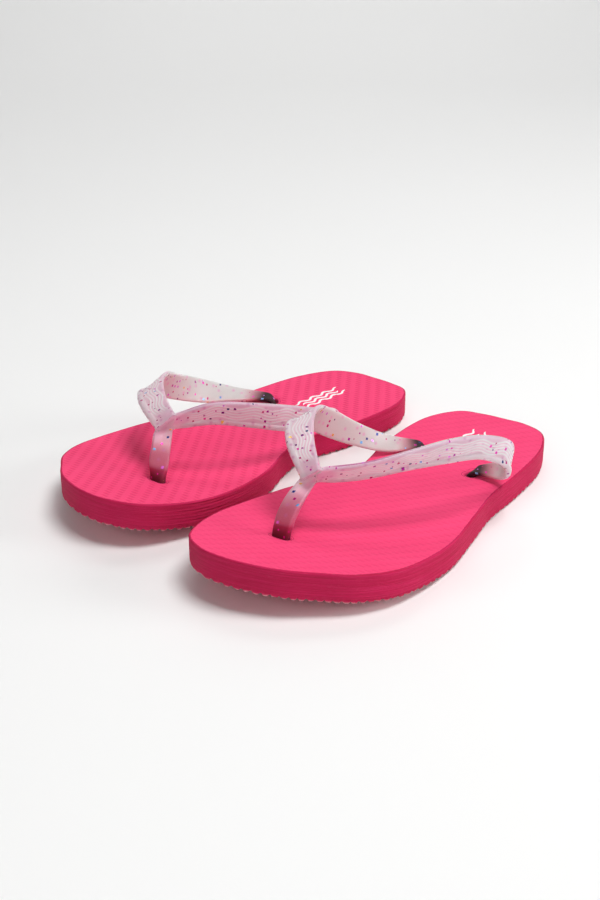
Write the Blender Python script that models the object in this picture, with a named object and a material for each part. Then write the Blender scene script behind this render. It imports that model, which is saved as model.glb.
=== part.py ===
"""A pair of child's toe-post sandals: foam soles and one-piece moulded Y-straps.

Each sole is one slab of foam.  It is modelled as a heel piece and a forefoot
piece that meet on the line where the slab bends under the ball of the foot.
The strap is one moulding: toe post, two arms, and a round plug below the sole
at each of its three ends.

Units are metres.  +Z is up and the toes point along -Y.  Inside a shoe,
positions are given as (ahead of the middle, outwards from the centre line,
height), so that one description serves both feet.
"""
import math

import bmesh
import bpy
from mathutils import Vector

MM = 0.001

# ---- the slab ---------------------------------------------------------------
SOLE_THICKNESS = 12.2 * MM
TOE_LIFT = 10 * MM             # how far the tip of the toe curls up
LIFT_START = 10 * MM           # the sole is flat behind this point
TOE_TIP = 100 * MM
FLEX_LINE = 30 * MM            # the ball of the foot, ahead of the middle
GAP = 0.3 * MM                 # between pieces that touch
OUTLINE_POINTS = 112
# (inset, height) from the tread up the side wall to the footbed
SIDE_PROFILE = [
    (1.5 * MM, 0.0), (0.45 * MM, 0.45 * MM), (0.1 * MM, 1.5 * MM),
    (0.0, SOLE_THICKNESS - 0.9 * MM), (0.25 * MM, SOLE_THICKNESS - 0.25 * MM),
    (0.9 * MM, SOLE_THICKNESS),
]

# Outline of a sole in mm, from the toe round the outer side and back along
# the arch: (ahead of the middle, outwards from the centre line).
OUTLINE = [
    (98, 0), (93.5, 11), (86, 21), (75, 33), (57, 41.5), (28, 43.5), (0, 39),
    (-22, 35), (-47, 34), (-74, 31), (-93, 23), (-99.5, 11), (-100, 0),
    (-99.5, -12), (-95.5, -24), (-77, -32.5), (-44, -32), (-17, -27), (0, -30.5),
    (26, -40.5), (61, -44.5), (87, -37), (98, -24), (100, -11),
]

# ---- the pair ---------------------------------------------------------------
TOE_OUT = math.radians(3)
SHOES = {
    "left": {"side": 1, "middle": (46.4 * MM, -3.4 * MM)},
    "right": {"side": -1, "middle": (-46.4 * MM, 3.4 * MM)},
}
# middle of the pair's bounding box, so that the origin lies under it
CENTRE = Vector((0.0, -0.14 * MM, 0.0))

# ---- the straps -------------------------------------------------------------
ARM_THICKNESS = 2.0 * MM
POST_THICKNESS = 3.0 * MM
NECK_WIDTH = 7.4 * MM          # where an end goes through the slab
NECK_THICKNESS = 3.0 * MM
SLOT_CLEARANCE = 0.6 * MM
FOOTBED_CLEARANCE = 1.7 * MM   # lowest an arm's rim lies over the footbed
PLUG_RADIUS = 6.5 * MM
PLUG_HEIGHT = 2.4 * MM
PLUG_RECESS = 3.9 * MM         # depth of the recess under the sole
PLUG_LIFT = 0.7 * MM           # the plug's face stands this far above the tread

# Rims of each strap in mm, from the toe end: (ahead, outwards, above the
# footbed).  "high" is the rim nearer the ankle, "low" the rim nearer the sole.
# The straps are soft, and the two of a pair don't lie quite alike.
STRAPS = {
    "left": {
        "toe_hole": (64, -10.5),
        "post": {"outer": [(61, -6, 11), (54.5, -6, 16.5), (46, -6.5, 21)],
                 "inner": [(62, -14, 10), (57.5, -13, 17), (51, -10.5, 23)]},
        "outer": {"high": [(50, -2, 29), (39, 12, 31), (26, 23, 34), (10, 33, 36),
                           (-7, 39, 33), (-24, 41, 25), (-36, 33, 11), (-40, 18, 1)],
                  "low": [(46, -6.5, 21), (35, 7, 22), (22, 19, 24), (8, 28, 24),
                          (-7, 35, 22), (-21, 40, 14), (-30, 35, 4), (-33, 21, 1)]},
        "inner": {"high": [(50, -2, 29), (37, -14, 33), (23, -24, 36), (7, -32, 34),
                           (-7, -35, 27), (-21, -32, 17), (-35, -26, 8), (-49, -17, 1)],
                  "low": [(51, -10.5, 23), (43, -23, 30), (30, -33, 32), (14, -38, 26),
                          (-2, -37, 16), (-16, -32, 8), (-30, -23, 2), (-43, -12, 1)]},
    },
    "right": {
        "toe_hole": (63, -15),
        "post": {"outer": [(63, -10, 10), (59.5, -8, 15.5), (55, -6, 21)],
                 "inner": [(58, -16.5, 9), (53, -13, 15), (47.5, -8.5, 20)]},
        "outer": {"high": [(49, -12, 28), (40, 3, 29), (29, 17, 30), (16, 28, 28),
                           (1, 36, 21), (-14, 38, 14), (-31, 32, 6), (-44, 20, 1)],
                  "low": [(55, -6, 21), (49, 10, 25), (38, 24, 24), (23, 33, 18),
                          (7, 36, 10), (-10, 33, 4), (-25, 27, 2), (-37, 17, 1)]},
        "inner": {"high": [(49, -12, 28), (38, -24, 33), (23, -34, 31), (6, -38, 26),
                           (-11, -39, 20), (-27, -35, 14), (-39, -28, 7), (-49, -17, 1)],
                  "low": [(47.5, -8.5, 20), (36, -21, 22), (23, -30, 19), (8, -36, 14),
                          (-7, -37, 10), (-21, -32, 5), (-33, -23, 2), (-43, -12, 1)]},
    },
}
ARM_STATIONS = 42
POST_STATIONS = 12


# ---- curves -----------------------------------------------------------------
def spline_point(a, b, c, d, t):
    """A point on the Catmull-Rom span from b to c."""
    return 0.5 * ((2 * b) + (c - a) * t + (2 * a - 5 * b + 4 * c - d) * t * t
                  + (3 * b - a - 3 * c + d) * t * t * t)


def closed_curve(points, count):
    """The closed smooth curve through the points, at evenly spaced points."""
    pts = [Vector(p) for p in points]
    n, fine = len(pts), 24
    dense = [spline_point(pts[i - 1], pts[i], pts[(i + 1) % n], pts[(i + 2) % n], k / fine)
             for i in range(n) for k in range(fine)]
    dense.append(dense[0])
    return evenly(dense, count + 1)[:-1]


def open_curve(points, fine=16):
    pts = [Vector(p) for p in points]
    pts = [2 * pts[0] - pts[1]] + pts + [2 * pts[-1] - pts[-2]]
    out = [spline_point(pts[i - 1], pts[i], pts[i + 1], pts[i + 2], k / fine)
           for i in range(1, len(pts) - 2) for k in range(fine)]
    return out + [pts[-2]]


def evenly(points, count, measure=None):
    """The polyline resampled; measure gives the length along it, if not its own."""
    if measure is None:
        measure = lengths(points)
    out, j = [], 0
    for i in range(count):
        want = measure[-1] * i / (count - 1)
        while j < len(points) - 2 and measure[j + 1] < want:
            j += 1
        span = measure[j + 1] - measure[j]
        t = (want - measure[j]) / span if span > 0 else 0.0
        out.append(points[j].lerp(points[j + 1], min(max(t, 0.0), 1.0)))
    return out


def lengths(points):
    total = [0.0]
    for a, b in zip(points, points[1:]):
        total.append(total[-1] + (b - a).length)
    return total


def lift(ahead):
    """How far the toe's curl raises the slab at a distance ahead of the middle."""
    t = max(0.0, (ahead - LIFT_START) / (TOE_TIP - LIFT_START))
    return TOE_LIFT * t * t


# ---- building meshes --------------------------------------------------------
def make_object(name, bm, side, parent, origin=(0.0, 0.0, 0.0)):
    """Turns shoe positions into the shoe's own axes and makes a mesh object."""
    ox, oy, oz = side * origin[1], -origin[0], origin[2]
    for v in bm.verts:
        ahead, out, z = v.co
        v.co = (side * out - ox, -ahead - oy, z - oz)
    bmesh.ops.recalc_face_normals(bm, faces=bm.faces)
    mesh = bpy.data.meshes.new(name)
    bm.to_mesh(mesh)
    bm.free()
    mesh.shade_smooth()
    mesh.set_sharp_from_angle(angle=math.radians(35))
    obj = bpy.data.objects.new(name, mesh)
    obj.location = (ox, oy, oz)
    obj.parent = parent
    bpy.context.scene.collection.objects.link(obj)
    return obj


def slab():
    """The whole foam slab, curled up at the toe."""
    bm = bmesh.new()
    line = [p * MM for p in closed_curve(OUTLINE, OUTLINE_POINTS)]
    n = len(line)
    outward = []
    for i in range(n):
        along = line[(i + 1) % n] - line[i - 1]
        outward.append(Vector((-along.y, along.x)).normalized())
    if sum((line[i]).dot(outward[i]) for i in range(n)) < 0:
        outward = [-o for o in outward]
    rings = []
    for inset, z in SIDE_PROFILE:
        ring = []
        for p, o in zip(line, outward):
            q = p - o * inset
            ring.append(bm.verts.new((q.x, q.y, z + lift(q.x))))
        rings.append(ring)
    for a, b in zip(rings, rings[1:]):
        for i in range(n):
            j = (i + 1) % n
            bm.faces.new((a[i], a[j], b[j], b[i]))
    for ring in (rings[0], rings[-1]):
        for i in range(n // 2):
            corners = [ring[i], ring[i + 1], ring[(n - i - 1) % n], ring[(n - i) % n]]
            bm.faces.new(list(dict.fromkeys(corners)))
    bmesh.ops.recalc_face_normals(bm, faces=bm.faces)
    return bm


def keep_part(bm, at, ahead):
    """Cuts the slab straight across and closes the cut."""
    bmesh.ops.bisect_plane(
        bm, geom=list(bm.verts) + list(bm.edges) + list(bm.faces), dist=1e-7,
        plane_co=(at, 0, 0), plane_no=(1, 0, 0), clear_inner=ahead, clear_outer=not ahead)
    rim = [e for e in bm.edges if e.is_boundary]
    bmesh.ops.holes_fill(bm, edges=rim, sides=0)
    return bm


SECTION = [(-0.5, -0.22), (-0.44, -0.5), (0.44, -0.5), (0.5, -0.22),
           (0.5, 0.22), (0.44, 0.5), (-0.44, 0.5), (-0.5, 0.22)]


def ribbon(first_rim, second_rim, thickness):
    """A closed flat tube between two rims, with the thickness at each station."""
    bm = bmesh.new()
    n = len(first_rim)
    mids = [(a + b) / 2 for a, b in zip(first_rim, second_rim)]
    rings, last = [], None
    for i in range(n):
        across = first_rim[i] - second_rim[i]
        along = mids[min(i + 1, n - 1)] - mids[max(i - 1, 0)]
        normal = along.cross(across).normalized()
        if last is not None and normal.dot(last) < 0:
            normal = -normal
        last = normal
        rings.append([bm.verts.new(mids[i] + across * s + normal * (thickness[i] * t))
                      for s, t in SECTION])
    k = len(SECTION)
    for a, b in zip(rings, rings[1:]):
        for i in range(k):
            j = (i + 1) % k
            bm.faces.new((a[i], a[j], b[j], b[i]))
    bm.faces.new(rings[0])
    bm.faces.new(list(reversed(rings[-1])))
    return bm


def above_footbed(point, least):
    """A rim point given in mm above the footbed, kept clear of the footbed."""
    ahead, out, height = (c * MM for c in point)
    return Vector((ahead, out, SOLE_THICKNESS + max(height, least)))


def arm_rims(spec):
    """The two rims of an arm, on into the slab, and its slot's middle and directions."""
    high = [above_footbed(p, FOOTBED_CLEARANCE) for p in spec["high"]]
    low = [above_footbed(p, FOOTBED_CLEARANCE) for p in spec["low"]]
    high, low = open_curve(high), open_curve(low)
    measure = lengths([(a + b) / 2 for a, b in zip(high, low)])
    high, low = evenly(high, ARM_STATIONS, measure), evenly(low, ARM_STATIONS, measure)
    # the toe end reaches a little way into the top of the post
    mid = [(a + b) / 2 for a, b in zip(high, low)]
    back = (mid[0] - mid[1]).normalized() * 1.2 * MM
    high[0], low[0] = high[0] + back, low[0] + back
    inwards = mid[-1] - mid[-3]
    inwards.z = 0
    inwards.normalize()
    across = high[-1] - low[-1]
    across.z = 0
    across = (across - inwards * across.dot(inwards)).normalized()
    end = mid[-1].copy()
    for shift, z, width in ((1.3, 0.9, NECK_WIDTH), (2.2, -0.6, NECK_WIDTH),
                            (2.6, -2.4, NECK_WIDTH), (2.6, -5.0, NECK_WIDTH)):
        c = end + inwards * shift * MM
        c.z = SOLE_THICKNESS + z * MM
        high.append(c + across * width / 2)
        low.append(c - across * width / 2)
    foot = end + inwards * 2.6 * MM
    foot.z = PLUG_LIFT + PLUG_HEIGHT - 0.4 * MM
    high.append(foot + across * NECK_WIDTH / 2)
    low.append(foot - across * NECK_WIDTH / 2)
    slot = end + inwards * 2.1 * MM
    return high, low, slot, across, inwards, foot


def post_rims(spec, crotch):
    """The two rims of the toe post, from the plug up to the fork."""
    ahead, out = (c * MM for c in spec["toe_hole"])
    base = lift(ahead)
    half = NECK_WIDTH / 2
    start = []
    for z in (PLUG_LIFT + PLUG_HEIGHT - 0.4 * MM, SOLE_THICKNESS - 4 * MM,
              SOLE_THICKNESS + 0.3 * MM):
        start.append(z + base)
    rims = []
    for name, sign in (("outer", 1), ("inner", -1)):
        pts = [Vector((ahead, out + sign * half, z)) for z in start]
        pts += [above_footbed(p, 0.0) for p in spec["post"][name]]
        top = crotch.copy()
        top.y += sign * 0.9 * MM
        pts.append(top)
        rims.append(open_curve(pts))
    measure = lengths([(a + b) / 2 for a, b in zip(*rims)])
    return [evenly(r, POST_STATIONS * 2, measure) for r in rims], Vector((ahead, out, base))


def disc(centre, radius, low, high, edge=0.4 * MM, sides=28):
    """A round plug with a soft edge."""
    bm = bmesh.new()
    rings = []
    for r, z in ((radius - edge, low), (radius, low + edge), (radius, high - edge),
                 (radius - edge, high)):
        rings.append([bm.verts.new((centre.x + r * math.cos(math.tau * i / sides),
                                    centre.y + r * math.sin(math.tau * i / sides), z))
                      for i in range(sides)])
    for a, b in zip(rings, rings[1:]):
        for i in range(sides):
            j = (i + 1) % sides
            bm.faces.new((a[i], a[j], b[j], b[i]))
    bm.faces.new(rings[0])
    bm.faces.new(list(reversed(rings[-1])))
    return bm


def slot_cutter(centre, across, inwards, half_width, half_length, low, high):
    """A rounded slot through the slab."""
    bm = bmesh.new()
    sides = 20
    rings = []
    for z in (low, high):
        ring = []
        for i in range(sides):
            a = math.tau * i / sides
            c, s = math.cos(a), math.sin(a)
            x = math.copysign(abs(c) ** 0.55, c) * half_width
            y = math.copysign(abs(s) ** 0.55, s) * half_length
            p = centre + across * x + inwards * y
            ring.append(bm.verts.new((p.x, p.y, z)))
        rings.append(ring)
    for i in range(sides):
        j = (i + 1) % sides
        bm.faces.new((rings[0][i], rings[0][j], rings[1][j], rings[1][i]))
    bm.faces.new(rings[0])
    bm.faces.new(list(reversed(rings[1])))
    return bm


def boolean(obj, other, operation):
    other.hide_render = True
    other.hide_viewport = False
    other.display_type = "WIRE"
    mod = obj.modifiers.new(other.name, "BOOLEAN")
    mod.operation = operation
    mod.solver = "EXACT"
    mod.object = other


def material(name, colour, roughness, transmission=0.0):
    mat = bpy.data.materials.new(name)
    mat.use_nodes = True
    bsdf = mat.node_tree.nodes["Principled BSDF"]
    bsdf.inputs["Base Color"].default_value = (*colour, 1.0)
    bsdf.inputs["Roughness"].default_value = roughness
    bsdf.inputs["Metallic"].default_value = 0.0
    bsdf.inputs["Transmission Weight"].default_value = transmission
    return mat


# ---- one shoe ---------------------------------------------------------------
def build_shoe(name, side, middle):
    spec = STRAPS[name]
    hub = bpy.data.objects.new(name + "_shoe", None)
    hub.location = (middle[0] - CENTRE.x, middle[1] - CENTRE.y, 0)
    hub.rotation_euler = (0, 0, side * TOE_OUT)
    bpy.context.scene.collection.objects.link(hub)

    # the slab, in two pieces that meet on the flex line
    flex = (FLEX_LINE, 0.0, SOLE_THICKNESS + lift(FLEX_LINE))
    heel = make_object(name + "_sole_heel", keep_part(slab(), FLEX_LINE - GAP / 2, False),
                       side, hub)
    fore = make_object(name + "_sole_forefoot",
                       keep_part(slab(), FLEX_LINE + GAP / 2, True), side, hub, flex)

    # the strap: post, arms and plugs, joined into one moulding
    crotch = above_footbed(spec["outer"]["high"][0], 0.0)
    (rim_a, rim_b), toe = post_rims(spec, crotch)
    n = len(rim_a)
    taper = [POST_THICKNESS + (ARM_THICKNESS - POST_THICKNESS) * max(0.0, i / (n - 1) - 0.4) / 0.6
             for i in range(n)]
    strap = make_object(name + "_strap", ribbon(rim_a, rim_b, taper), side, hub)
    toe_slot = Vector((toe.x, toe.y, 0))
    ends = [("toe", toe_slot, Vector((0, 1, 0)), Vector((1, 0, 0)), toe, fore)]
    for arm in ("outer", "inner"):
        high, low, slot, across, inwards, foot = arm_rims(spec[arm])
        m = len(high)
        thick = [ARM_THICKNESS + (NECK_THICKNESS - ARM_THICKNESS)
                 * min(1.0, max(0.0, (i - ARM_STATIONS + 3) / 6)) for i in range(m)]
        piece = make_object(f"{name}_cutter_{arm}_arm", ribbon(high, low, thick), side, hub)
        boolean(strap, piece, "UNION")
        ends.append((arm, slot, across, inwards, Vector((foot.x, foot.y, 0)), heel))
    for end, slot, across, inwards, foot, sole in ends:
        base = lift(foot.x)
        plug = make_object(f"{name}_cutter_{end}_plug",
                           disc(foot, PLUG_RADIUS, base + PLUG_LIFT,
                                base + PLUG_LIFT + PLUG_HEIGHT), side, hub)
        boolean(strap, plug, "UNION")
        half_length = 2.9 * MM if end != "toe" else NECK_THICKNESS / 2 + SLOT_CLEARANCE
        cut = make_object(f"{name}_cutter_{end}_slot",
                          slot_cutter(slot, across, inwards, NECK_WIDTH / 2 + SLOT_CLEARANCE,
                                      half_length, -5 * MM, 40 * MM), side, hub)
        boolean(sole, cut, "DIFFERENCE")
        recess = make_object(f"{name}_cutter_{end}_recess",
                             disc(foot, PLUG_RADIUS + GAP, -5 * MM, base + PLUG_RECESS,
                                  0.02 * MM), side, hub)
        boolean(sole, recess, "DIFFERENCE")

    for obj, colour, rough in ((heel, (0.90, 0.07, 0.20), 0.75),
                               (fore, (0.90, 0.07, 0.20), 0.75)):
        obj.data.materials.append(material(obj.name + "_foam", colour, rough))
    strap.data.materials.append(material(name + "_strap_vinyl", (0.85, 0.56, 0.64), 0.35, 0.3))


for leftover in list(bpy.data.objects):
    bpy.data.objects.remove(leftover)
for shoe, place in SHOES.items():
    build_shoe(shoe, place["side"], place["middle"])
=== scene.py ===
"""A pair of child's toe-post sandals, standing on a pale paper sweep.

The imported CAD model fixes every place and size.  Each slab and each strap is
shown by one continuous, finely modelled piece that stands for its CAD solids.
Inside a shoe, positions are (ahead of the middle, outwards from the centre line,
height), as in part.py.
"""
import math

import bmesh
import bpy
import numpy as np
from mathutils import Matrix, Vector
from mathutils.geometry import delaunay_2d_cdt
from mathutils.kdtree import KDTree


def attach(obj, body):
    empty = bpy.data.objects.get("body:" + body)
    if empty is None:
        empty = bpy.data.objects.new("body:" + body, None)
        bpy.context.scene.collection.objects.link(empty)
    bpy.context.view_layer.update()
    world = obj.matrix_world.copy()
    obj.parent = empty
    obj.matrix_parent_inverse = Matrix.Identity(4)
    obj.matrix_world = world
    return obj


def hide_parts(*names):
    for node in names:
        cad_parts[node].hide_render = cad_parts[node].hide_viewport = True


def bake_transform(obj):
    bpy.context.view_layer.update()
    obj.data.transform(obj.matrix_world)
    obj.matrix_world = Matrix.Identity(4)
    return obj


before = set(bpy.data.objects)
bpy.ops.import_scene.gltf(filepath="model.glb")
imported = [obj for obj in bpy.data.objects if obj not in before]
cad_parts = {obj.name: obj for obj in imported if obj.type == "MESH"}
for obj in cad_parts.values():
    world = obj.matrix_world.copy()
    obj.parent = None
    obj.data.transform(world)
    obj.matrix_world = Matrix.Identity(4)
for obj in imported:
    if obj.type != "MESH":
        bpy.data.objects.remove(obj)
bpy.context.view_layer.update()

MM = 0.001

# ---- the same model as part.py, in mm ---------------------------------------
SOLE_THICKNESS = 12.2
TOE_LIFT, LIFT_START, TOE_TIP = 10.0, 10.0, 100.0
TOE_OUT = math.radians(3)
SHOES = {"left": (1, 46.4, -3.26), "right": (-1, -46.4, 3.54)}
OUTLINE = [
    (98, 0), (93.5, 11), (86, 21), (75, 33), (57, 41.5), (28, 43.5), (0, 39),
    (-22, 35), (-47, 34), (-74, 31), (-93, 23), (-99.5, 11), (-100, 0),
    (-99.5, -12), (-95.5, -24), (-77, -32.5), (-44, -32), (-17, -27), (0, -30.5),
    (26, -40.5), (61, -44.5), (87, -37), (98, -24), (100, -11),
]
ARM_THICKNESS, POST_THICKNESS = 2.0, 3.0
NECK_WIDTH, NECK_THICKNESS, SLOT_CLEARANCE = 7.4, 3.0, 0.6
FOOTBED_CLEARANCE = 1.7
PLUG_RADIUS, PLUG_HEIGHT, PLUG_RECESS, PLUG_LIFT, GAP = 6.5, 2.4, 3.9, 0.7, 0.3
STRAPS = {
    "left": {
        "toe_hole": (64, -10.5),
        "post": {"outer": [(61, -6, 11), (54.5, -6, 16.5), (46, -6.5, 21)],
                 "inner": [(62, -14, 10), (57.5, -13, 17), (51, -10.5, 23)]},
        "outer": {"high": [(50, -2, 29), (39, 12, 31), (26, 23, 34), (10, 33, 36),
                           (-7, 39, 33), (-24, 41, 25), (-36, 33, 11), (-40, 18, 1)],
                  "low": [(46, -6.5, 21), (35, 7, 22), (22, 19, 24), (8, 28, 24),
                          (-7, 35, 22), (-21, 40, 14), (-30, 35, 4), (-33, 21, 1)]},
        "inner": {"high": [(50, -2, 29), (37, -14, 33), (23, -24, 36), (7, -32, 34),
                           (-7, -35, 27), (-21, -32, 17), (-35, -26, 8), (-49, -17, 1)],
                  "low": [(51, -10.5, 23), (43, -23, 30), (30, -33, 32), (14, -38, 26),
                          (-2, -37, 16), (-16, -32, 8), (-30, -23, 2), (-43, -12, 1)]},
    },
    "right": {
        "toe_hole": (63, -15),
        "post": {"outer": [(63, -10, 10), (59.5, -8, 15.5), (55, -6, 21)],
                 "inner": [(58, -16.5, 9), (53, -13, 15), (47.5, -8.5, 20)]},
        "outer": {"high": [(49, -12, 28), (40, 3, 29), (29, 17, 30), (16, 28, 28),
                           (1, 36, 21), (-14, 38, 14), (-31, 32, 6), (-44, 20, 1)],
                  "low": [(55, -6, 21), (49, 10, 25), (38, 24, 24), (23, 33, 18),
                          (7, 36, 10), (-10, 33, 4), (-25, 27, 2), (-37, 17, 1)]},
        "inner": {"high": [(49, -12, 28), (38, -24, 33), (23, -34, 31), (6, -38, 26),
                           (-11, -39, 20), (-27, -35, 14), (-39, -28, 7), (-49, -17, 1)],
                  "low": [(47.5, -8.5, 20), (36, -21, 22), (23, -30, 19), (8, -36, 14),
                          (-7, -37, 10), (-21, -32, 5), (-33, -23, 2), (-43, -12, 1)]},
    },
}
ARM_STATIONS = 42

# ---- surface detail, in mm --------------------------------------------------
OUTLINE_STEP = 0.75
FOOTBED_STEP = 0.62
TREAD_STEP = 0.62
ROW_PITCH, DASH_PITCH, ROW_SHIFT = 2.2, 6.4, 1.7
DASH_DEPTH = {"left": 0.12, "right": 0.22}
TREAD_PITCH, TREAD_DEPTH = 4.3, 0.95
SLOT_POINTS = 48
WAVE_LENGTH, WAVE_HEIGHT, WAVE_LINES, WAVE_GAP = 16.0, 0.85, 5, 1.45
WAVE_FIRST = 4.6            # from the low rim to the first wave, on a full-width arm
FULL_ARM_WIDTH = 12.6
RIDGE_HEIGHT, RIDGE_WIDTH = 0.11, 0.36
BEAD_WIDTH, BEAD_HEIGHT = 2.9, 0.75
FACE_ROUNDING, OUTER_POINTS, INNER_POINTS = 0.85, 48, 12
STRAP_STEP = 0.6
PLUG_SIDES = 64
CUTS_LOW, CUTS_HIGH = 1.0, 11.5      # heights between which the wall shows cut marks
CUT_STAND_OUT = 0.03
BALL_WRINKLES = {"left": 0.1, "right": 0.42}
SEAM_REACH, SEAM_SOFTNESS, SEAM_PASSES = 3.2, 1.3, 14
PRINT_MIDDLE, PRINT_PITCH, PRINT_HALF_WIDTH = -60.0, 3.0, 0.62
PRINT_WAVE, PRINT_SWING = 8.6, 0.95
PRINT_LENGTH = {"left": 40.0, "right": 32.0}
PRINT_OUT = {"left": -2.0, "right": 1.5}

# ---- what the meshes tell their materials -----------------------------------
FOOTBED, WALL, TREAD, HOLE = 0.0, 1.0, 2.0, 3.0     # kinds of slab surface
PART_SHIFT = 300.0          # keeps the post, the two arms and the plugs apart
BACK_SHIFT = 60.0           # keeps the flecks of a strap's two faces apart

# ---- colours, linear --------------------------------------------------------
FOAM = {
    "deep": (0.87, 0.050, 0.168), "bright": (0.91, 0.066, 0.200), "dash_shade": (0.56, 0.010, 0.055),
    # the cut colours are darker than the footbed's: the knife marks are the foam's own, their
    # darkness is painted shade on the walls
    "cell": (0.98, 0.19, 0.34), "cut_dark_shade": (0.34, 0.001, 0.026), "cut": (0.45, 0.003, 0.054),
    "cut_pale_shade": (0.57, 0.014, 0.094), "speck": (0.93, 0.30, 0.45), "paler_low": (0.88, 0.50, 0.52),
}
VINYL = {
    "milk": (0.96, 0.74, 0.82), "milk_pale": (0.99, 0.81, 0.88), "pink_tint_and_bounce": (0.95, 0.57, 0.73),
    # the inner face's two colours and the post's colour are painted shade, darker than the outer
    # face of the same vinyl
    "back_fork_shade": (0.46, 0.14, 0.28), "back": (0.60, 0.61, 0.59), "post": (0.68, 0.18, 0.29),
    "stain": (0.70, 0.24, 0.50), "frost": (0.93, 0.84, 0.86), "ridge": (1.0, 0.97, 0.98),
}
# painted shade: each arm and the post darken where they go into the foam's hole
ARM_END_SHADE = [(0.0, (0.66, 0.44, 0.48)), (0.5, (0.50, 0.25, 0.29)),
           (0.74, (0.26, 0.10, 0.12)), (0.93, (0.020, 0.007, 0.009))]
POST_END_SHADE = [(0.0, (0.55, 0.12, 0.22)), (0.5, (0.42, 0.02, 0.09)), (1.0, (0.13, 0.002, 0.018))]
FLECKS = [(0.0, (0.56, 0.006, 0.22)), (0.24, (0.82, 0.03, 0.46)), (0.44, (0.42, 0.01, 0.34)),
          (0.60, (0.20, 0.01, 0.22)), (0.68, (0.015, 0.03, 0.20)), (0.74, (0.84, 0.20, 0.82)),
          (0.90, (0.92, 0.54, 0.10)), (0.95, (0.20, 0.46, 0.82))]
FLECK_CHANCE = 0.74         # a cell whose throw is higher holds a fleck
PRINT_WORN, PRINT_WHITE = (0.93, 0.62, 0.70), (0.93, 0.90, 0.91)
PAPER, PAPER_PALE = (0.885, 0.885, 0.88), (0.905, 0.905, 0.90)


# ---- curves -----------------------------------------------------------------
def spline_point(a, b, c, d, t):
    return 0.5 * ((2 * b) + (c - a) * t + (2 * a - 5 * b + 4 * c - d) * t * t
                  + (3 * b - a - 3 * c + d) * t * t * t)


def closed_curve(points, count):
    pts = [Vector(p) for p in points]
    n, fine = len(pts), 24
    dense = [spline_point(pts[i - 1], pts[i], pts[(i + 1) % n], pts[(i + 2) % n], k / fine)
             for i in range(n) for k in range(fine)]
    dense.append(dense[0])
    return evenly(dense, count + 1)[:-1]


def open_curve(points, fine=16):
    pts = [Vector(p) for p in points]
    pts = [2 * pts[0] - pts[1]] + pts + [2 * pts[-1] - pts[-2]]
    out = [spline_point(pts[i - 1], pts[i], pts[i + 1], pts[i + 2], k / fine)
           for i in range(1, len(pts) - 2) for k in range(fine)]
    return out + [pts[-2]]


def lengths(points):
    total = [0.0]
    for a, b in zip(points, points[1:]):
        total.append(total[-1] + (b - a).length)
    return total


def evenly(points, count, measure=None):
    if measure is None:
        measure = lengths(points)
    out, j = [], 0
    for i in range(count):
        want = measure[-1] * i / (count - 1)
        while j < len(points) - 2 and measure[j + 1] < want:
            j += 1
        span = measure[j + 1] - measure[j]
        t = (want - measure[j]) / span if span > 0 else 0.0
        out.append(points[j].lerp(points[j + 1], min(max(t, 0.0), 1.0)))
    return out


def lift(ahead):
    t = np.maximum(0.0, (np.asarray(ahead, float) - LIFT_START) / (TOE_TIP - LIFT_START))
    return TOE_LIFT * t * t


def smooth_step(low, high, x):
    t = np.clip((np.asarray(x, float) - low) / (high - low), 0, 1)
    return t * t * (3 - 2 * t)


def ripple(x, y, seed):
    """A cheap smooth noise from a few crossed sines, about -1 to 1."""
    total = 0.0
    for k in range(1, 5):
        a = seed * 1.7 + k * 2.399
        total = total + np.sin(k * 0.83 * (x * math.cos(a) + y * math.sin(a)) + a * 3.1) / k
    return total / 1.6


def above_footbed(point, least):
    ahead, out, height = point
    return Vector((ahead, out, SOLE_THICKNESS + max(height, least)))


def arm_rims(spec):
    """The two rims of an arm on into the slab, and where it goes through, as in part.py."""
    high = [above_footbed(p, FOOTBED_CLEARANCE) for p in spec["high"]]
    low = [above_footbed(p, FOOTBED_CLEARANCE) for p in spec["low"]]
    high, low = open_curve(high), open_curve(low)
    measure = lengths([(a + b) / 2 for a, b in zip(high, low)])
    high, low = evenly(high, ARM_STATIONS, measure), evenly(low, ARM_STATIONS, measure)
    mid = [(a + b) / 2 for a, b in zip(high, low)]
    back = (mid[0] - mid[1]).normalized() * 1.2
    high[0], low[0] = high[0] + back, low[0] + back
    inwards = mid[-1] - mid[-3]
    inwards.z = 0
    inwards.normalize()
    across = high[-1] - low[-1]
    across.z = 0
    across = (across - inwards * across.dot(inwards)).normalized()
    end = mid[-1].copy()
    for shift, z in ((1.3, 0.9), (2.2, -0.6), (2.6, -2.4), (2.6, -5.0)):
        c = end + inwards * shift
        c.z = SOLE_THICKNESS + z
        high.append(c + across * NECK_WIDTH / 2)
        low.append(c - across * NECK_WIDTH / 2)
    foot = end + inwards * 2.6
    foot.z = PLUG_LIFT + PLUG_HEIGHT - 0.4
    high.append(foot + across * NECK_WIDTH / 2)
    low.append(foot - across * NECK_WIDTH / 2)
    slot = end + inwards * 2.1
    return high, low, slot, across, inwards, foot


def post_rims(spec, crotch):
    ahead, out = spec["toe_hole"]
    base = float(lift(ahead))
    half = NECK_WIDTH / 2
    start = [PLUG_LIFT + PLUG_HEIGHT - 0.4 + base, SOLE_THICKNESS - 4 + base,
             SOLE_THICKNESS + 0.3 + base]
    rims = []
    for name, sign in (("outer", 1), ("inner", -1)):
        pts = [Vector((ahead, out + sign * half, z)) for z in start]
        pts += [above_footbed(p, 0.0) for p in spec["post"][name]]
        top = crotch.copy()
        top.y += sign * 0.9
        pts.append(top)
        rims.append(open_curve(pts))
    measure = lengths([(a + b) / 2 for a, b in zip(*rims)])
    count = int(measure[-1] / STRAP_STEP)
    return [evenly(r, count, measure) for r in rims], Vector((ahead, out, base))


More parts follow.
